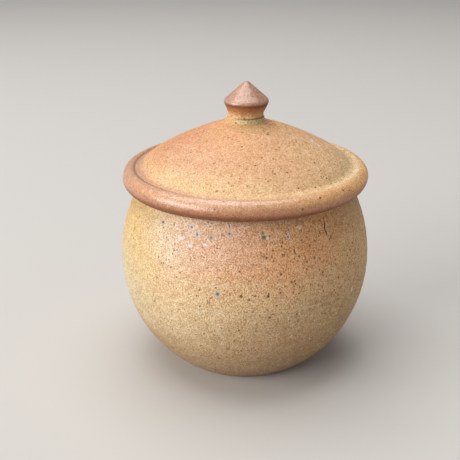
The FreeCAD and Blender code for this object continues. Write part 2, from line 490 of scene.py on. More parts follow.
    def rolled_up(self, add: Adder, given: Any, position: Feed) -> Feed:
        """Lays the grid of turns by stations, bends it round the axis and closes it.

        Args:
            add: adds a node to the tree.
            given: the tree's inputs.
            position: the place of each point.

        Returns:
            The even, closed body, with its map.
        """
        outline = given["Outline"]
        stations = add(
            "GeometryNodeAttributeDomainSize", {"Geometry": outline}, component="MESH"
        )
        columns = add(MATH, {0: given["Turns"], 1: 1.0}, operation="ADD")
        body = add(
            "GeometryNodeMeshGrid",
            {"Size X": 1.0, "Size Y": 1.0, "Vertices X": columns, "Vertices Y": stations},
        )
        square = add(SPLIT, {0: position}).outputs
        last = add(MATH, {0: stations, 1: 1.0}, operation="SUBTRACT")
        row = add(MATH, {0: square["Y"], 1: 0.5}, operation="ADD")
        row = add(MATH, {0: row, 1: last}, operation="MULTIPLY")
        row = add("FunctionNodeFloatToInt", {0: row}, rounding_mode="ROUND")
        sampled = {"place": position}
        for name in ("shown", "share", "run"):
            sampled[name] = add(
                "GeometryNodeInputNamedAttribute", {"Name": name}, data_type="FLOAT"
            )
        for name, value in sampled.items():
            sampled[name] = add(
                "GeometryNodeSampleIndex",
                {"Geometry": outline, "Value": value, "Index": row},
                data_type="FLOAT_VECTOR" if name == "place" else "FLOAT",
                domain="POINT",
            )
        across = add(MATH, {0: square["X"], 1: 0.5}, operation="ADD")
        flat_map = add("ShaderNodeCombineXYZ", {"X": across, "Y": sampled["share"]})
        for name, value, kind, domain in (
            (MAP_NAME, flat_map, "FLOAT2", "CORNER"),
            ("shown", sampled["shown"], "FLOAT", "POINT"),
            ("run", sampled["run"], "FLOAT", "POINT"),
        ):
            body = add(
                "GeometryNodeStoreNamedAttribute",
                {"Geometry": body, "Name": name, "Value": value},
                data_type=kind,
                domain=domain,
            )

        angle = add(MATH, {0: square["X"], 1: math.tau}, operation="MULTIPLY")
        place = add(SPLIT, {0: sampled["place"]}).outputs
        away, nearer = (
            add(
                MATH,
                {0: place["X"], 1: add(MATH, {0: angle}, operation=operation)},
                operation="MULTIPLY",
            )
            for operation in ("SINE", "COSINE")
        )
        nearer = add(MATH, {0: nearer, 1: -1.0}, operation="MULTIPLY")
        turned = add("ShaderNodeCombineXYZ", {"X": away, "Y": nearer, "Z": place["Z"]})
        body = add("GeometryNodeSetPosition", {"Geometry": body, "Position": turned})
        return add("GeometryNodeMergeByDistance", {"Geometry": body, "Distance": self.SEAM})

    def throw(
        self, name: str, outline: Outline, clay: bpy.types.Material
    ) -> bpy.types.Object:
        """Turns an outline into a finished piece.

        Args:
            name: the piece's name.
            outline: half its section.
            clay: its material.

        Returns:
            The piece, a plain mesh with its own map.
        """
        stations = outline.stations()
        strip = bpy.data.meshes.new(f"{name}_outline")
        strip.from_pydata(
            [(radius * MM, 0.0, level * MM) for radius, level, *_ in stations],
            [(at, at + 1) for at in range(len(stations) - 1)],
            [],
        )
        for column, label, scale in ((2, "shown", 1.0), (3, "share", 1.0), (4, "run", MM)):
            values = strip.attributes.new(label, "FLOAT", "POINT")
            values.data.foreach_set("value", [station[column] * scale for station in stations])
        host = put(f"{name}_on_the_wheel", strip)
        modifier = host.modifiers.new("wheel", "NODES")
        inputs = self.inputs(clay)
        modifier.node_group = self.tree(inputs)
        for item in modifier.node_group.interface.items_tree:
            if item.in_out == "INPUT" and item.name in inputs:
                modifier[item.identifier] = inputs[item.name][1]
        shaped = host.evaluated_get(bpy.context.evaluated_depsgraph_get())
        mesh = bpy.data.meshes.new_from_object(shaped)
        mesh.name = name
        bpy.data.objects.remove(host)
        return put(name, mesh)


@dataclass
class Piece:
    """A piece thrown on the wheel, which takes the place of one CAD node."""

    clay: "Stoneware"
    name: str
    node: str
    slot: Slot
    wheel: Wheel

    def fit(self) -> None:
        """Takes the leading sizes from the model's own box."""
        raise NotImplementedError

    def outline(self) -> Outline:
        """Draws half the piece's section."""
        raise NotImplementedError

    def build(self) -> bpy.types.Object:
        """Makes the piece and gives it its place in the frame."""
        self.fit()
        outline = self.outline()
        piece = self.wheel.throw(self.name, outline, self.clay.material(outline))
        settle(piece, self.node)
        return piece


@dataclass
class Pot(Piece):
    """The round pot: foot, belly, closed-in shoulder, flat lip and the hollow inside."""

    name: str = "pot_body"
    node: str = "pot"
    slot: Slot = Slot.POT
    foot_radius: float = 27.9
    belly_radius: float = 51.6
    belly_level: float = 45.1
    belly_swell: float = 8.0
    collar_level: float = 75.15
    mouth_radius: float = 41.5
    seat_level: float = 78.6
    lip_width: float = 4.6
    lip_depth: float = 3.0
    lip_round: float = 1.1
    wall: float = 4.6
    floor_thickness: float = 5.5
    floor_radius: float = 27.0
    foot_round: float = 2.5
    floor_round: float = 7.0
    wheel: Wheel = field(default_factory=lambda: Wheel(seed=3))

    def fit(self) -> None:
        """Takes the widest radius and the lip's level from the model's own box."""
        low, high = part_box(self.node)
        self.belly_radius = (high[0] - low[0]) / 2 / MM
        self.seat_level = high[2] / MM

    def outline(self) -> Outline:
        """Draws half the pot's section, from under the foot round to the floor inside."""
        bore_radius = self.mouth_radius - self.lip_width
        bore_level = self.seat_level - self.lip_depth
        inner_belly = self.belly_radius - self.wall
        foot_bend = bend(self.belly_radius - self.foot_radius, self.belly_level)
        shoulder_bend = bend(self.belly_swell, self.collar_level - self.belly_level)
        throat_bend = bend(inner_belly - bore_radius, bore_level - self.belly_level)
        bowl_bend = bend(inner_belly - self.floor_radius, self.belly_level - self.floor_thickness)
        line = Outline(0.0)
        line.line(self.foot_radius, 0.0, Face.HIDDEN, self.foot_round)
        line.arc(self.belly_radius, self.belly_level, foot_bend)
        line.arc(self.belly_radius - self.belly_swell, self.collar_level, shoulder_bend)
        line.line(self.mouth_radius, self.seat_level, Face.SHOWN, self.lip_round)
        line.line(bore_radius, self.seat_level, Face.HIDDEN, self.lip_round)
        line.line(bore_radius, bore_level, Face.HIDDEN)
        for radius, level, arc_bend, rounding in (
            (inner_belly, self.belly_level, throat_bend, 0.0),
            (self.floor_radius, self.floor_thickness, bowl_bend, self.floor_round),
        ):
            line.arc(radius, level, arc_bend, Face.HIDDEN, rounding, Bulge.LEFT)
        line.line(0.0, self.floor_thickness, Face.HIDDEN)
        return line


@dataclass
class Lid(Piece):
    """The lid: domed top, rolled rim, locating flange beneath and the pointed knob."""

    name: str = "lid_cover"
    node: str = "lid"
    slot: Slot = Slot.LID
    seat_level: float = 78.6
    rim_round: float = 4.05
    rim_drop: float = 2.55
    rim_centre: float = 45.95
    rim_inside: float = 43.0
    flange_outside: float = 35.7
    flange_inside: float = 32.5
    flange_drop: float = 4.5
    flange_round: float = 1.0
    groove_radius: float = 43.6
    groove_round: float = 2.0
    brow_radius: float = 35.5
    brow_rise: float = 11.1
    dome_bend: float = 138.0
    dome_rise: float = 22.9
    spring_rise: float = 7.1
    spring_round: float = 4.0
    hollow_rise: float = 16.9
    hollow_flat: float = 4.0
    neck_foot_radius: float = 8.0
    foot_round: float = 1.6
    foot_ring_radius: float = 7.5
    foot_ring_step: float = 0.3
    foot_ring_round: float = 0.2
    foot_ring_rise: float = 1.9
    neck_radius: float = 6.8
    waist_rise: float = 25.8
    neck_round: float = 2.2
    knob_radius: float = 9.25
    knob_rise: float = 31.3
    knob_edge_round: float = 1.5
    tip_radius: float = 1.5
    tip_rise: float = 38.2
    tip_flat: float = 0.3
    top_rise: float = 38.8
    wheel: Wheel = field(
        default_factory=lambda: Wheel(
            seed=8,
            lean=(0.011, 0.008, 0.0),
            shift=0.35,
            shift_level=105.0,
            crease_depth=0.45,
            crease_radius=45.1,
            crease_width=0.5,
        )
    )

    def fit(self) -> None:
        """Takes the seat's level and the rim's reach from the model's own boxes."""
        low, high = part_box(self.node)
        self.seat_level = high[2] / MM - self.top_rise
        self.rim_centre = (high[0] - low[0]) / 2 / MM - self.rim_round

    def outline(self) -> Outline:
        """Draws half the lid's section, from the hollow beneath round to the tip."""
        base = self.seat_level
        rim_level = base + self.rim_round - self.rim_drop
        groove_level = rim_level + math.sqrt(
            self.rim_round**2 - (self.rim_centre - self.groove_radius) ** 2
        )
        neck_foot = (self.neck_foot_radius, base + self.dome_rise)
        brow = (self.brow_radius, base + self.brow_rise)
        flange_level = base - self.flange_drop
        ring_level = neck_foot[1] + self.foot_ring_rise
        hollow_bend = bend(
            self.hollow_rise - self.spring_rise, self.flange_inside - self.hollow_flat
        )
        under_bend = bend(self.rim_drop, self.rim_centre - self.rim_inside)
        tip_bend = bend(self.top_rise - self.tip_rise, self.tip_radius - self.tip_flat)
        line = Outline(base + self.hollow_rise)
        line.line(self.hollow_flat, base + self.hollow_rise, Face.HIDDEN)
        line.arc(
            self.flange_inside,
            base + self.spring_rise,
            hollow_bend,
            Face.HIDDEN,
            self.spring_round,
            Bulge.LEFT,
        )
        for radius, level, rounding in (
            (self.flange_inside, flange_level, self.flange_round),
            (self.flange_outside, flange_level, self.flange_round),
            (self.flange_outside, base, 0.0),
            (self.rim_inside, base, 0.0),
        ):
            line.line(radius, level, Face.HIDDEN, rounding)
        line.arc(self.rim_centre, base - self.rim_drop, under_bend)
        line.arc(self.rim_centre + self.rim_round, rim_level, self.rim_round)
        line.arc(self.groove_radius, groove_level, self.rim_round, Face.CRISP, self.groove_round)
        line.arc(*brow, self.brow_bend(groove_level, brow, neck_foot))
        line.arc(*neck_foot, self.dome_bend, Face.SHOWN, self.foot_round)
        ring_top = (self.foot_ring_radius - self.foot_ring_step, ring_level + self.foot_ring_step)
        for radius, level, rounding in (
            (self.foot_ring_radius, ring_level, self.foot_ring_round),
            (*ring_top, self.foot_ring_round),
            (self.neck_radius, base + self.waist_rise, self.neck_round),
            (self.knob_radius, base + self.knob_rise, self.knob_edge_round),
            (self.tip_radius, base + self.tip_rise, 0.0),
        ):
            line.line(radius, level, Face.CRISP, rounding)
        line.arc(self.tip_flat, base + self.top_rise, tip_bend)
        line.line(0.0, base + self.top_rise, Face.SHOWN)
        return line

    def brow_bend(self, groove_level: float, brow: Point, neck_foot: Point) -> float:
        """Radius of the arc that runs from the groove smoothly into the dome at the brow.

        Args:
            groove_level: how high the groove is.
            brow: the point where the dome starts.
            neck_foot: the point where the dome ends.

        Returns:
            The arc's radius.
        """
        chord = math.dist(brow, neck_foot)
        heading = math.atan2(neck_foot[1] - brow[1], neck_foot[0] - brow[0])
        heading -= math.asin(chord / 2 / self.dome_bend)
        back = (brow[0] - self.groove_radius, brow[1] - groove_level)
        sideways = back[0] * math.sin(heading) - back[1] * math.cos(heading)
        return (back[0] ** 2 + back[1] ** 2) / (2 * abs(sideways))


class Mark(Enum):
    """The single marks that the kiln left in the clay."""

    IRON = "iron spot"
    PIT = "blue pit"
    RING = "ringed pit"
    FLECK = "white fleck"
    CHIP = "ash chip"


@dataclass(frozen=True)
class Look:
    """How one kind of mark looks.

    The core is its own colour, the halo the paler ring of melted clay round it, and the
    dent how deep it lies below the skin, or above it where it is below nought.
    """

    core: str
    halo: str | None = None
    halo_reach: float = 2.2
    dent: float = 0.6


LOOKS = {
    Mark.IRON: Look("#55331f", dent=0.4),
    Mark.PIT: Look("#4b4a63", "#d9c5b4", 2.4, 0.8),
    Mark.RING: Look("#66708e", "#f3ece4", 2.1, 0.8),
    Mark.FLECK: Look("#fdf8f4", dent=-0.3),
    Mark.CHIP: Look("#615629", "#dcd0a4", 1.5, 0.7),
}


@dataclass(frozen=True)
class Spot:
    """One mark: what it is, where it is and how big.

    The turn is in degrees round to the right from the front, the level and the half width
    and half height in millimetres.
    """

    mark: Mark
    turn: float
    level: float
    wide: float = 0.6
    tall: float = 0.6
    strength: float = 0.9


@dataclass(frozen=True)
class Stroke:
    """A short thin line between two places, each a turn and a level."""

    colour: str
    start: Point
    end: Point
    width: float = 0.3
    strength: float = 0.8
    dent: float = 0.3


@dataclass(frozen=True)
class Patch:
    """A soft patch of flame or ash colour, or of painted light or shade, placed as a spot is."""

    colour: str
    turn: float
    level: float
    wide: float
    tall: float
    strength: float = 0.8
    fray: float = 5.0


@dataclass(frozen=True)
class Band:
    """A line that the trimming tool left: a level at the front, its slope and its reach."""

    level: float
    slope: float
    turn: float
    wide: float
    width: float = 0.28
    strength: float = 0.5


@dataclass(frozen=True)
class Stoneware:
    """Wood-fired, unglazed stoneware.

    The clay is coarse and sandy, with pale and brown grains about half a millimetre
    across. Flame and ash colour its skin in soft-edged patches, some of which also hold
    painted light and shade, iron in the clay bleeds through as dark specks, and the skin
    is matt, with a slight satin where the flame sealed it.
    """

    name: str
    levels: tuple[tuple[float, str], ...]
    patches: tuple[Patch, ...] = ()
    spots: tuple[Spot, ...] = ()
    bands: tuple[Band, ...] = ()
    strokes: tuple[Stroke, ...] = ()
    speck_centre: tuple[float, float] = (20.0, 58.0)
    speck_share: float = 0.5
    sand_relief: float = 0.34
    open_turn: float = 50.0
    roughness: float = 0.72
    seed: float = 1.0

    def material(self, outline: Outline) -> bpy.types.Material:
        """Mixes the clay.

        Args:
            outline: the outline of the piece, which gives the radius at each level.

        Returns:
            The material.
        """
        material = bpy.data.materials.new(self.name)
        mixer = ClayMixer(empty_tree(material), outline, self.seed)
        mixer.ground(self.levels)
        for patch in self.patches:
            mixer.patch(patch)
        self.own_zones(mixer)
        mixer.grain(self.sand_relief, self.open_turn)
        mixer.specks(*self.speck_centre, self.speck_share)
        for band in self.bands:
            mixer.band(band)
        for stroke in self.strokes:
            mixer.stroke(stroke)
        for spot in self.spots:
            mixer.spot(spot)
        mixer.finish(self.roughness)
        return material

    def own_zones(self, mixer: "ClayMixer") -> None:
        """Adds what only one piece's clay has. The plain kind has nothing more."""


class ClayMixer:
    """Builds a stoneware's nodes step by step, in millimetres on the piece."""

    TONGUE = 16.0
    SAND = 0.47
    MOTTLE = 3.2
    MOTTLE_SHARE = 0.22
    TONE_SPAN = {"From Min": 0.43, "From Max": 0.79, "To Min": -0.5, "To Max": 0.5}
    DARK_SAND = (0.73, 0.55, 0.38, 1.0)
    PALE_SAND = (1.26, 1.32, 1.38, 1.0)
    # The fray of a mask's edge in millimetres, and the shares of its size at which it is full
    # and at which it ends. A patch brings its own fray, and the specks' field its size.
    PATCH_EDGE = (0.15, 1.35)
    HALO_EDGE = (1.2, 0.4, 1.25)
    CORE_EDGE = (0.9, 0.3, 1.4)
    BAND_EDGE = (5.0, 0.6, 1.0)
    SPECK_FIELD = (38.0, 20.0, 4.0, 0.1, 1.3)
    STROKE_FRAY = 0.8
    # Loose grains: the cell in millimetres, the share of empty cells, the largest radius as a
    # share of the cell, the colour, its strength, and how far they stand out in millimetres.
    GRAINS = ((1.3, 0.66, 0.34, "#fff0d2", 0.55, 0.1), (1.4, 0.6, 0.32, "#8a5c34", 0.65, -0.12))
    SPECKS = ((2.6, 0.2), (1.6, 0.26))  # the cell, and the largest radius as a share of it
    SMALLEST = 0.35  # the smallest grain's radius as a share of the largest's
    GRAIN_EDGE = {"From Min": -0.03, "From Max": 0.08}
    STRAY = 0.12  # how many specks stray outside their field, as a share of those in it
    SPECK_DEPTH = 0.2
    BAND_DEPTH = 0.12

    def __init__(self, tree: bpy.types.NodeTree, outline: Outline, seed: float) -> None:
        """Starts with the place on the piece and the noise that frays every edge."""
        add = self.add = partial(add_node, tree)
        self.outline = outline
        self.seed = seed
        coordinates = add("ShaderNodeTexCoord").outputs["Object"]
        to_mm = (1 / MM, 1 / MM, 1 / MM)
        self.place = add("ShaderNodeMapping", {"Vector": coordinates, "Scale": to_mm})
        parts = add(SPLIT, {0: self.place}).outputs
        self.aside, self.level = parts["X"], parts["Z"]
        flat = add(VECTOR, {0: self.place, 1: LEVEL_PLANE}, operation="MULTIPLY")
        self.radius = add(VECTOR, {0: flat}, operation="LENGTH")
        self.bearing = add(VECTOR, {0: flat}, operation="NORMALIZE")
        # Flame licks in tongues a centimetre or so long, with finer fringes on them.
        tongues = add(
            NOISE,
            {
                "Vector": self.place,
                "W": seed,
                "Scale": 1 / self.TONGUE,
                "Detail": 4.0,
                "Roughness": 0.6,
            },
            noise_dimensions="4D",
        ).outputs["Color"]
        self.warp = add(VECTOR, {0: tongues, 1: (0.5, 0.5, 0.5)}, operation="SUBTRACT")
        self.colour: Feed | None = None
        self.height: Feed | float = 0.0
        self.flashed: Feed | None = None
        self.sealed: Feed | None = None

    def where(self, turn: float, level: float) -> Place:
        """Place on the piece at a turn and a level, in millimetres."""
        radius, angle = self.outline.radius_at(level), math.radians(turn)
        return radius * math.sin(angle), -radius * math.cos(angle), level

    def frayed(self, reach: float) -> Feed:
        """The place, moved about by the noise by up to a reach in millimetres."""
        spread = (2 * reach, 2 * reach, 2 * reach)
        return self.add(
            VECTOR, {0: self.warp, 1: spread, 2: self.place}, operation="MULTIPLY_ADD"
        )

    def mask(
        self, centre: Place, wide: float, tall: float, fray: float, inner: float, outer: float
    ) -> Feed:
        """Makes a round mask about a place, with edges frayed by the noise.

        Args:
            centre: its middle in millimetres.
            wide: its half width.
            tall: its half height.
            fray: how far the noise moves its edge, in millimetres.
            inner: the share of its size out to which it is full.
            outer: the share of its size at which it ends.

        Returns:
            The mask, from 0 to 1.
        """
        add = self.add
        offset = add(VECTOR, {0: self.frayed(fray), 1: centre}, operation="SUBTRACT")
        shares = (1 / wide, 1 / wide, 1 / tall)
        scaled = add(VECTOR, {0: offset, 1: shares}, operation="MULTIPLY")
        distance = add(VECTOR, {0: scaled}, operation="LENGTH")
        return add(REMAP, {"Value": distance, "From Min": outer, "From Max": inner}, **SOFT)

    def facing(self, turn: float) -> Feed:
        """How squarely a place lies at a turn: 1 there, 0 at right angles, -1 opposite."""
        angle = math.radians(turn)
        towards = (math.sin(angle), -math.cos(angle), 0.0)
        return self.add(VECTOR, {0: self.bearing, 1: towards}, operation="DOT_PRODUCT")

    def side(
        self, turn: float, start: float, end: float, low: float = 0.0, high: float = 1.0
    ) -> Feed:
        """Makes a mask of the side at a turn.

        Args:
            turn: the middle of the side, in degrees.
            start: how squarely a place faces it where the mask starts to change.
            end: how squarely it does where the change is over.
            low: the mask's value away from the side.
            high: its value on the side.

        Returns:
            The mask.
        """
        span = {"From Min": start, "From Max": end, "To Min": low, "To Max": high}
        return self.add(REMAP, {"Value": self.facing(turn), **span}, **SOFT)

    def stripe(self, value: Feed, middle: float, reach: float, core: float) -> Feed:
        """Makes a mask of where a value is near a middle.

        Args:
            value: the radius or the level, in millimetres.
            middle: the stripe's middle.
            reach: how far from it the stripe ends.
            core: how far from it the stripe is full.

        Returns:
            The mask, from 0 to 1.
        """
        off = self.add(MATH, {0: value, 1: middle}, operation="SUBTRACT")
        off = self.add(MATH, {0: off}, operation="ABSOLUTE")
        return self.add(REMAP, {"Value": off, "From Min": reach, "From Max": core}, **SOFT)

    def paint(self, colour: str | Feed, strength: float, *masks: Feed) -> None:
        """Lays a colour over what is there.

        Args:
            colour: a hex colour, or the socket or node that gives one.
            strength: how strongly it covers, from 0 to 1.
            masks: where it goes, which is where all of them are.
        """
        mask, *factors = *masks, strength
        for factor in factors:
            mask = self.add(MATH, {0: mask, 1: factor}, operation="MULTIPLY")
        over = linear(colour) if isinstance(colour, str) else colour
        self.colour = self.add(MIX, {0: mask, 6: self.colour, 7: over}, data_type="RGBA")

    def tide(self, start: float, end: float, colour: str, strength: float) -> Feed:
        """Paints all that lies past a level.

        Args:
            start: the level where the colour starts.
            end: the level, above it or below, from which it is full.
            colour: the colour.
            strength: how strongly it covers.

        Returns:
            Its mask.
        """
        span = {"From Min": start, "From Max": end}
        mask = self.add(REMAP, {"Value": self.level, **span}, **SOFT)
        self.paint(colour, strength, mask)
        return mask

    def raise_by(self, amount: Feed, factor: float) -> None:
        """Adds a relief, times a factor in millimetres, to the height."""
        self.height = self.add(
            MATH, {0: amount, 1: factor, 2: self.height}, operation="MULTIPLY_ADD"
        )

    def ground(self, levels: tuple[tuple[float, str], ...], waver: float = 9.0) -> None:
        """Lays the clay's own colour, which changes slowly from the foot upwards.

        Args:
            levels: each level in millimetres and the colour there, from the lowest.
            waver: how far the noise moves the levels up and down.
        """
        top = levels[-1][0]
        wavering = self.add(SPLIT, {0: self.warp}).outputs["X"]
        height = self.add(
            MATH, {0: wavering, 1: waver, 2: self.level}, operation="MULTIPLY_ADD"
        )
        share = self.add(MATH, {0: height, 1: top}, operation="DIVIDE")
        self.colour = self.add("ShaderNodeValToRGB", {0: share})
        stops = self.colour.color_ramp.elements
        for number, (level, colour) in enumerate(levels):
            stop = stops[number] if number < 2 else stops.new(level / top)
            stop.position = level / top
            stop.color = linear(colour)

    def patch(self, patch: Patch) -> None:
        """Lays one patch: flame or ash colour, or painted light or shade."""
        centre = self.where(patch.turn, patch.level)
        mask = self.mask(centre, patch.wide, patch.tall, patch.fray, *self.PATCH_EDGE)
        self.paint(patch.colour, patch.strength, mask)

    def grain(self, relief: float, open_turn: float) -> None:
        """Adds the sand: brown hollows, pale grains, and their relief.

        Args:
            relief: how far the sand stands out, in millimetres.
            open_turn: the side, away from the fire, where no ash evens the sand out.
        """
        # Sand finer than half a millimetre wouldn't show from a hand's reach, so it isn't drawn.
        fine, mottle = (
            self.add(
                NOISE,
                {"Vector": self.place, "W": seed, "Scale": 1 / size, "Detail": detail, **rough},
                noise_dimensions="4D",
            )
            for seed, size, detail, rough in (
                (self.seed, self.SAND, 1.2, {"Roughness": 0.6}),
                (self.seed + 4, self.MOTTLE, 2.0, {}),
            )
        )
        weights = {0: mottle, 1: self.MOTTLE_SHARE, 2: fine}
        tone = self.add(MATH, weights, operation="MULTIPLY_ADD")
        shade = self.add(REMAP, {"Value": tone, **self.TONE_SPAN}, clamp=False)
        openness = self.side(open_turn, -0.5, 0.6, 0.9, 1.35)
        shade = self.add(
            MATH, {0: shade, 1: openness, 2: 0.5}, operation="MULTIPLY_ADD", use_clamp=True
        )
        sands = {0: shade, 6: self.DARK_SAND, 7: self.PALE_SAND}
        tint = self.add(MIX, sands, data_type="RGBA")
        self.colour = self.add(VECTOR, {0: self.colour, 1: tint}, operation="MULTIPLY")
        self.raise_by(fine, relief)
        for cell, empty, reach, colour, strength, rise in self.GRAINS:
            mask = self.sprinkle(cell, empty, reach)
            if self.flashed is not None:
                bare = self.add(REMAP, {"Value": self.flashed, "To Min": 1.0, "To Max": 0.15})
                mask = self.add(MATH, {0: mask, 1: bare}, operation="MULTIPLY")
            self.paint(colour, strength, mask)
            self.raise_by(mask, rise)

    def sprinkle(self, cell: float, empty: Feed | float, reach: float) -> Feed:
        """Scatters small round grains, one in some of the cells of a random pattern.

        Args:
            cell: the cells' size in millimetres.
            empty: the share of cells left empty, from 0 to 1.
            reach: the grains' largest radius as a share of a cell.

        Returns:
            The grains' mask.
        """
        add = self.add
        apart = (self.seed * 31 + cell, self.seed * 17, cell * 11)
        moved = add(VECTOR, {0: self.place, 1: apart}, operation="ADD")
        cells = add("ShaderNodeTexVoronoi", {"Vector": moved, "Scale": 1 / cell}).outputs
        lot = add("ShaderNodeSeparateColor", {0: cells["Color"]}).outputs
        size = add(REMAP, {"Value": lot[0], "To Min": reach * self.SMALLEST, "To Max": reach})
        within = add(MATH, {0: size, 1: cells["Distance"]}, operation="SUBTRACT")
        grain = add(REMAP, {"Value": within, **self.GRAIN_EDGE}, **SOFT)
        filled = add(MATH, {0: lot[1], 1: empty}, operation="GREATER_THAN")
        return add(MATH, {0: grain, 1: filled}, operation="MULTIPLY")

    def specks(self, turn: float, level: float, share: float) -> None:
        """Scatters the iron specks, thickest about one place.

        Args:
            turn: the place's turn in degrees.
            level: its level in millimetres.
            share: the most cells that hold a speck.
        """
        thick = self.mask(self.where(turn, level), *self.SPECK_FIELD)
        emptiness = {"To Min": 1 - share * self.STRAY, "To Max": 1 - share}
        for cell, reach in self.SPECKS:
            empty = self.add(REMAP, {"Value": thick, **emptiness})
            mask = self.sprinkle(cell, empty, reach)
            self.paint("#704530", 0.85, mask)
            self.raise_by(mask, -self.SPECK_DEPTH)

    def band(self, band: Band) -> None:
        """Draws one pale trimming line, broken here and there."""
        line = self.add(
            MATH, {0: self.aside, 1: -band.slope, 2: self.level}, operation="MULTIPLY_ADD"
        )
        thin = self.stripe(line, band.level, band.width, band.width * CORE)
        centre = self.where(band.turn, band.level)
        reach = self.mask(centre, band.wide, band.wide, *self.BAND_EDGE)
        mask = self.add(MATH, {0: thin, 1: reach}, operation="MULTIPLY")
        self.paint("#f8e6c6", band.strength, mask)
        self.raise_by(mask, -self.BAND_DEPTH)

    def stroke(self, stroke: Stroke) -> None:
        """Draws one short line, as a scratch, a crack or a line of painted shade."""
        add = self.add
        start, end = self.where(*stroke.start), self.where(*stroke.end)
        along = tuple(b - a for a, b in zip(start, end))
        square = sum(part * part for part in along)
        unit = tuple(part / square for part in along)
        offset = add(VECTOR, {0: self.frayed(self.STROKE_FRAY), 1: start}, operation="SUBTRACT")
        gone = add(VECTOR, {0: offset, 1: unit}, operation="DOT_PRODUCT")
        share = add(MATH, {0: gone, 1: 1.0}, operation="MULTIPLY", use_clamp=True)
        nearest = add(VECTOR, {0: along, "Scale": share}, operation="SCALE")
        away = add(VECTOR, {0: offset, 1: nearest}, operation="DISTANCE")
        span = {"From Min": stroke.width, "From Max": stroke.width * CORE}
        mask = add(REMAP, {"Value": away, **span}, **SOFT)
        self.paint(stroke.colour, stroke.strength, mask)
        self.raise_by(mask, -DENT * stroke.dent)

    def spot(self, spot: Spot) -> None:
        """Draws one single mark, its halo first."""
        look = LOOKS[spot.mark]
        centre = self.where(spot.turn, spot.level)
        if look.halo:
            reach = look.halo_reach
            halo = self.mask(centre, spot.wide * reach, spot.tall * reach, *self.HALO_EDGE)
            self.paint(look.halo, spot.strength * 0.8, halo)
        core = self.mask(centre, spot.wide, spot.tall, *self.CORE_EDGE)
        self.paint(look.core, spot.strength, core)
        self.raise_by(core, -DENT * look.dent)

    def finish(self, roughness: float) -> None:
        """Joins colour, gloss and relief to the surface.

        Args:
            roughness: the skin's roughness where the flame hasn't sealed it.
        """
        add = self.add
        relief = {"Distance": MM, "Height": self.height}
        skin: dict[str, Any] = {"Roughness": roughness}
        if self.sealed is not None:
            # Ash melted to a thin glassy skin, which smooths over most of the sand.
            satin = {"Value": self.sealed, "To Min": roughness, "To Max": SATIN_ROUGHNESS}
            skin = {
                "Roughness": add(REMAP, satin),
                "Coat Weight": self.sealed,
                "Coat Roughness": 0.2,
                "Coat IOR": 1.55,
                "Coat Normal": add("ShaderNodeBump", {"Strength": 0.4, **relief}),
            }
        skin["Normal"] = add("ShaderNodeBump", {"Strength": 1.0, **relief})
        clay = {"Base Color": self.colour, "IOR": 1.5, **skin}
        shader = add("ShaderNodeBsdfPrincipled", clay)
        add("ShaderNodeOutputMaterial", {"Surface": shader})


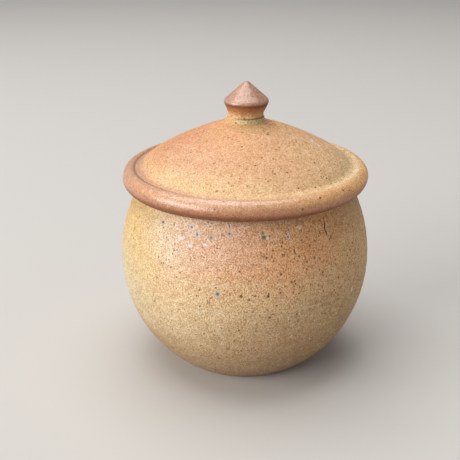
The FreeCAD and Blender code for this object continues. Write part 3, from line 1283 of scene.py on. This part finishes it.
POT_CLAY = Stoneware(
    name="buff stoneware of the pot",
    levels=(
        (0.0, "#ae9678"),
        (12.0, "#b69c7a"),
        (25.0, "#c4a57e"),
        (38.0, "#cfb188"),
        (52.0, "#d3b185"),
        (78.0, "#cfab7d"),
    ),
    patches=(
        Patch("#e6c688", -60, 60, 36, 26, 0.9),
        Patch("#ded3b0", -70, 40, 24, 20, 0.8),
        # Paler low on the left, where the light falls: painted light.
        Patch("#e0caa2", -40, 34, 30, 14, 0.7),
        # The next two pale pink patches on the left shoulder are partly flame colour, partly a
        # painted sheen.
        Patch("#f5dcc0", -28, 65, 22, 15, 0.9),
        Patch("#f2d3b8", -18, 64, 22, 15, 0.9),
        Patch("#efbb8e", 4, 54, 34, 13, 0.85),
        Patch("#ecbc9a", 0, 67, 24, 11, 0.85),
        Patch("#ecb07a", 34, 64, 30, 16, 0.85),
        Patch("#e8c696", -12, 46, 40, 9, 0.65),
        Patch("#ecd2a8", -26, 42, 18, 12, 0.6),
        Patch("#c4a474", 52, 38, 30, 20, 0.75),
        # Darker olive-brown low on the right: partly the clay's tone, partly painted shade.
        Patch("#a6855a", 48, 17, 32, 15, 0.7),
        Patch("#a68c68", -72, 16, 26, 12, 0.5),
        Patch("#e6be86", 64, 58, 24, 22, 0.75),
        Patch("#e8c294", 36, 50, 18, 8, 0.6),
        # Grey just under the lid's rim: partly ash, partly painted shade cast by the rim.
        Patch("#b9a488", -10, 76, 34, 4, 0.5, 2.0),
        # The back, away from the fire, is quieter: a pale flush and two buff clouds.
        Patch("#dcae7e", 150, 62, 40, 15, 0.7),
        Patch("#e2c79a", -140, 50, 34, 20, 0.6),
        Patch("#c6ac82", 175, 34, 38, 14, 0.6),
        Patch("#b0906a", 118, 20, 30, 14, 0.5),
    ),
    spots=(
        Spot(Mark.IRON, 96, 52, 0.6, 0.55),
        Spot(Mark.IRON, 128, 63, 0.7, 0.7),
        Spot(Mark.IRON, 167, 41, 0.6, 0.5),
        Spot(Mark.PIT, -152, 66, 0.6, 0.6),
        Spot(Mark.FLECK, 143, 58, 0.8, 0.6),
        Spot(Mark.IRON, -118, 47, 0.7, 0.6),
        Spot(Mark.PIT, -43, 70.7, 0.6, 0.6),
        Spot(Mark.RING, -26.5, 71.5, 0.65, 0.65),
        Spot(Mark.RING, -23, 69.5, 0.6, 0.85),
        Spot(Mark.PIT, -16, 69, 0.55, 0.6),
        Spot(Mark.PIT, -8, 70.7, 0.5, 0.5),
        Spot(Mark.FLECK, -31, 66.7, 1.1, 0.9),
        Spot(Mark.FLECK, -25.5, 65, 0.8, 0.7),
        Spot(Mark.FLECK, -18.5, 66.2, 0.8, 0.6),
        Spot(Mark.FLECK, 25.5, 71.6, 0.9, 0.7, 0.5),
        Spot(Mark.FLECK, 54.5, 40.8, 0.7, 0.9),
        Spot(Mark.PIT, 19.8, 71.5, 0.4, 0.7, 0.6),
        Spot(Mark.RING, 19.2, 69.2, 0.45, 0.6, 0.7),
        Spot(Mark.CHIP, 7.9, 69.4, 0.95, 1.0),
        Spot(Mark.CHIP, 7.5, 70.9, 0.5, 0.9, 0.8),
        Spot(Mark.FLECK, 9.6, 69.0, 0.6, 0.6, 0.6),
        Spot(Mark.IRON, 10.6, 69.9, 0.5, 0.4, 0.7),
        Spot(Mark.PIT, -12, 48.6, 0.75, 0.75),
        Spot(Mark.IRON, -2.5, 48, 0.65, 0.6),
        Spot(Mark.IRON, 1, 46.6, 0.55, 0.55),
        Spot(Mark.IRON, 3.5, 48.2, 0.5, 0.45),
        Spot(Mark.IRON, 9, 48, 0.6, 0.7),
        Spot(Mark.IRON, 14, 49, 0.5, 0.45),
        Spot(Mark.CHIP, 30.5, 60, 0.7, 0.7, 0.8),
        Spot(Mark.IRON, 26.6, 59, 0.55, 0.5, 0.8),
        Spot(Mark.IRON, 33.4, 59.4, 0.5, 0.5, 0.7),
        Spot(Mark.IRON, 19, 52.8, 0.5, 0.5, 0.8),
        Spot(Mark.IRON, 14.5, 56, 0.55, 0.55),
        Spot(Mark.IRON, 16, 62.8, 0.7, 0.6, 0.7),
        Spot(Mark.IRON, 7.5, 62.6, 0.8, 0.5, 0.6),
        Spot(Mark.IRON, 9.5, 38.9, 0.5, 0.5),
        Spot(Mark.IRON, 21.5, 38.8, 0.5, 0.5),
        Spot(Mark.IRON, -8.5, 23.6, 0.9, 0.9, 0.6),
        Spot(Mark.IRON, -14, 16.8, 0.6, 0.5),
    ),
    bands=(
        Band(51.6, 0.0, -24, 20, 0.32, 0.6),
        Band(41.0, 0.0, 2, 40, 0.32, 0.45),
        Band(60.5, 0.0, -6, 18, 0.3, 0.3),
        Band(46.0, 0.0, 170, 42, 0.3, 0.3),
        Band(57.5, 0.0, -110, 30, 0.3, 0.4),
    ),
    strokes=(
        Stroke("#3f2817", (40.2, 71.0), (39.0, 69.2), 0.45, 0.9, 1.2),
        Stroke("#3f2817", (39.0, 69.2), (39.4, 67.2), 0.4, 0.9, 1.2),
        Stroke("#4a2c1a", (42.0, 66.0), (40.0, 64.8), 0.4, 0.7, 0.6),
    ),
    speck_centre=(30.0, 57.0),
    speck_share=0.8,
    sand_relief=0.5,
    roughness=0.62,
    seed=2.0,
)


@dataclass(frozen=True)
class LidStoneware(Stoneware):
    """The lid's clay, with its rolled rim and knob flashed red-brown to a satin skin.

    The flame's edge lies inside the roll's crest by the inset, moves by the sway from side
    to side, and by the wander along its way.
    """

    rim_radius: float = 45.6
    rim_level: float = 80.1
    edge_inset: float = 1.2
    edge_sway: float = 2.5
    edge_wander: float = 4.0
    crest_highlight_inset: float = 0.6
    crease_radius: float = 45.1
    neck_level: float = 103.4
    knob_level: float = 105.4

    def own_zones(self, mixer: ClayMixer) -> None:
        """Colours the rolled rim, the crest's painted highlight, the neck and the knob."""
        rim = self.roll(mixer)
        # The knob is flashed like the rim, with painted shade under its ring; its neck stays buff.
        knob, _, cone = (
            mixer.tide(self.knob_level + start, self.knob_level + end, colour, strength)
            for start, end, colour, strength in (
                (-1.4, 1.8, "#a86c3e", 0.9),
                # painted shade under the knob's ring
                (1.6, 3.8, "#6e3e26", 0.85),
                (3.5, 4.7, "#cb9c84", 0.94),
            )
        )
        for rise, reach, colour, strength in (
            (-0.7, 0.9, "#dcd0a2", 0.8),
            (0.25, 0.4, "#7d5f34", 0.75),
        ):
            ring = mixer.stripe(mixer.level, self.neck_level + rise, reach, reach * CORE)
            mixer.paint(colour, strength, ring, mixer.side(25, 0.3, 0.9))
        mixer.flashed = mixer.add(MATH, {0: rim, 1: knob}, operation="MAXIMUM")
        # Ash melted to a skin on the side that faced the fire, and hardly beneath the roll.
        upward = mixer.add(
            REMAP,
            {
                "Value": mixer.level,
                "From Min": self.rim_level - 2.6,
                "From Max": self.rim_level + 0.4,
                "To Min": 0.15,
            },
            **SOFT,
        )
        skin = rim
        for mask, operation in (
            (upward, "MULTIPLY"),
            (cone, "MAXIMUM"),
            (mixer.side(-45, -0.4, 0.45, 0.15), "MULTIPLY"),
        ):
            skin = mixer.add(MATH, {0: skin, 1: mask}, operation=operation)
        mixer.sealed = skin

    def roll(self, mixer: ClayMixer) -> Feed:
        """Colours the rolled rim.

        Args:
            mixer: the mixer that holds the lid's clay.

        Returns:
            The mask of the roll.
        """
        # The flame's edge on the roll: at the groove on the left, past the crest in front.
        wander = mixer.add(SPLIT, {0: mixer.warp}).outputs["Y"]
        edge = self.rim_radius - self.edge_inset
        for amount, factor in ((mixer.facing(60), self.edge_sway), (wander, self.edge_wander)):
            edge = mixer.add(MATH, {0: amount, 1: factor, 2: edge}, operation="MULTIPLY_ADD")
        past = mixer.add(MATH, {0: mixer.radius, 1: edge}, operation="SUBTRACT")
        above = mixer.add(REMAP, {"Value": past, "From Min": -2.4, "From Max": 1.6}, **SOFT)
        span = {"From Min": self.rim_level, "From Max": self.rim_level - 1.5}
        below = mixer.add(REMAP, {"Value": mixer.level, **span}, **SOFT)
        rim = mixer.add(MATH, {0: above, 1: below}, operation="MAXIMUM")
        # Paler and more orange towards the right: partly flame colour, partly painted light on that
        # side.
        flame_tone_and_light = {0: mixer.side(80, 0.1, 0.9), 6: linear("#dba884"), 7: linear("#f6bf80")}
        mixer.paint(mixer.add(MIX, flame_tone_and_light, data_type="RGBA"), 0.9, rim)
        # The roll darkens downwards: red-brown flame colour, and in its lowest part, under the
        # bulge, partly painted shade.
        for start, end, colour, strength in (
            (2.4, -0.6, "#bb7d52", 0.85),
            (0.0, -3.0, "#7c4622", 0.94),
        ):
            mixer.tide(self.rim_level + start, self.rim_level + end, colour, strength)
        # The crease on the left holds a darker line, partly flame colour and partly
        # painted shade in the crease, and the crest on the right holds a pale painted highlight.
        for middle, reach, core, turn, start, colour, strength in (
            (self.crease_radius, 0.7, 0.1, -85, 0.2, "#ab6a36", 0.7),
            (self.rim_radius - self.crest_highlight_inset, 1.7, 0.3, 85, 0.35, "#f2dab0", 0.8),
        ):
            line = mixer.stripe(mixer.radius, middle, reach, core)
            mixer.paint(colour, strength, line, mixer.side(turn, start, 0.9))
        return rim


LID_CLAY = LidStoneware(
    name="flashed stoneware of the lid",
    levels=(
        (70.0, "#c89c72"),
        (83.0, "#ecc595"),
        (88.0, "#e9b88a"),
        (95.0, "#e7b285"),
        (101.0, "#e8b682"),
        (104.0, "#e9c692"),
        (118.0, "#c4967c"),
    ),
    patches=(
        Patch("#cc9068", -80, 94, 28, 16, 0.75),
        Patch("#e2b592", -38, 92, 26, 9, 0.6),
        Patch("#ecc998", -15, 86, 46, 4, 0.6, 2.5),
        Patch("#e8b486", 15, 97, 22, 9, 0.5),
        # The next two patches make the lid's right side paler: partly flame colour, partly painted
        # light on that side.
        Patch("#f4cc9c", 68, 91, 28, 12, 0.75),
        Patch("#e4c898", 84, 85.5, 30, 4.5, 0.75, 2.5),
        Patch("#d9bb80", 10, 102.5, 10, 3, 0.7, 2.0),
    ),
    spots=(
        Spot(Mark.IRON, -19.5, 92.7, 0.6, 0.5),
        Spot(Mark.IRON, -27.5, 92.4, 0.5, 0.4),
        Spot(Mark.IRON, -15.5, 85.5, 0.6, 0.6, 0.9),
        Spot(Mark.IRON, -19.5, 85.9, 0.5, 0.5, 0.6),
        Spot(Mark.IRON, -18.5, 83.3, 0.7, 0.7),
        Spot(Mark.IRON, 34.5, 99.3, 0.8, 0.7),
        Spot(Mark.IRON, 17, 90.1, 0.55, 0.5),
        Spot(Mark.IRON, 25, 90, 0.5, 0.45),
        Spot(Mark.IRON, 49.5, 90.7, 0.5, 0.5),
        Spot(Mark.IRON, 23.5, 80.2, 0.55, 0.5),
        Spot(Mark.IRON, 47.5, 83.2, 0.5, 0.5),
        Spot(Mark.FLECK, 80, 94.3, 1.6, 0.6, 0.6),
        Spot(Mark.FLECK, 77, 93, 1.0, 0.5, 0.6),
    ),
    strokes=(
        Stroke("#fff2da", (-46, 92.7), (-25, 92.7), 0.32, 0.7, -0.3),
        # under the pale scratch, a darker line of painted shade
        Stroke("#b27c50", (-42, 92.1), (-25, 92.2), 0.3, 0.6, 0.6),
        Stroke("#7d6236", (-27, 101.6), (-21, 100.6), 0.4, 0.8, 0.8),
    ),
    speck_centre=(20.0, 90.0),
    speck_share=0.12,
    sand_relief=0.22,
    open_turn=150.0,
    roughness=0.68,
    seed=5.0,
)


def settle(piece: bpy.types.Object, node: str) -> None:
    """Puts a finished piece in the place of its CAD node.

    Args:
        piece: the finished piece.
        node: the CAD node that it stands for.
    """
    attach(piece, "root")
    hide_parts(node)


@dataclass
class Studio:
    """A plain pale floor, a soft window-like key light, a pale room, and the camera."""

    floor_reach: float = 4.0
    floor_colour: str = "#d8d4ce"
    key_power: float = 26.0
    key_wide: float = 1.7
    key_tall: float = 0.8
    key_place: Place = (-1.5, -0.85, 0.62)
    top_power: float = 16.5
    top_size: float = 1.4
    top_place: Place = (-0.2, 0.22, 1.5)
    room_colour: str = "#f4f6fa"
    room_strength: float = 0.27
    room_seen: float = 0.7
    lens: float = 66.5
    camera_place: Place = (-0.00618, -0.3337, 0.1849)
    camera_dip: float = 0.373

    def build_floor(self) -> None:
        """Lays the floor."""
        reach = self.floor_reach
        mesh = bpy.data.meshes.new("floor")
        corners = ((-reach, -reach), (reach, -reach), (reach, reach), (-reach, reach))
        mesh.from_pydata([(*corner, 0.0) for corner in corners], [], [(0, 1, 2, 3)])
        floor = put("floor", mesh)
        material = bpy.data.materials.new("pale floor")
        tree = empty_tree(material)
        shader = add_node(tree, "ShaderNodeBsdfDiffuse", {"Color": linear(self.floor_colour)})
        add_node(tree, "ShaderNodeOutputMaterial", {"Surface": shader})
        mesh.materials.append(material)

    def build_light(self) -> None:
        """Hangs the two soft lamps and fills the room with pale light."""
        middle = (CAD_BOX[0] + CAD_BOX[1]) / 2
        for name, place, wide, tall, power in (
            ("window", self.key_place, self.key_wide, self.key_tall, self.key_power),
            ("ceiling", self.top_place, self.top_size, self.top_size, self.top_power),
        ):
            data = bpy.data.lights.new(name, "AREA")
            data.shape = "RECTANGLE"
            data.size, data.size_y = wide, tall
            data.energy = power
            lamp = put(name, data)
            lamp.location = place
            lamp.rotation_euler = (middle - lamp.location).to_track_quat("-Z", "Y").to_euler()
        world = bpy.data.worlds.new("pale room")
        add = partial(add_node, empty_tree(world))
        seen = add("ShaderNodeLightPath").outputs["Is Camera Ray"]
        strengths = {"To Min": self.room_strength, "To Max": self.room_seen}
        strength = add(REMAP, {"Value": seen, **strengths})
        colour = linear(self.room_colour)
        room = add("ShaderNodeBackground", {"Color": colour, "Strength": strength})
        add("ShaderNodeOutputWorld", {"Surface": room})
        bpy.context.scene.world = world

    def build_camera(self) -> None:
        """Sets up the camera a little above the pot, looking down at it."""
        data = bpy.data.cameras.new("camera")
        data.sensor_width = 36.0
        data.lens = self.lens
        camera = put("camera", data)
        camera.location = self.camera_place
        camera.rotation_euler = (math.pi / 2 - self.camera_dip, 0.0, 0.0)
        bpy.context.scene.camera = camera
        bpy.context.scene.view_settings.view_transform = "Standard"


def report(piece: bpy.types.Object) -> None:
    """Logs a finished piece's name, triangle count and size."""
    triangles = sum(len(polygon.vertices) - 2 for polygon in piece.data.polygons)
    size = ", ".join(f"{side / MM:.1f}" for side in piece.dimensions)
    log.info("%s: %d triangles, %s mm", piece.name, triangles, size)


def main() -> None:
    """Builds the studio and the pieces in order."""
    logging.basicConfig(level=logging.INFO, format="%(name)s: %(message)s")
    studio = Studio()
    studio.build_camera()
    studio.build_floor()
    studio.build_light()
    for part in (Pot(POT_CLAY), Lid(LID_CLAY)):
        report(part.build())


if __name__ == "__main__":
    main()
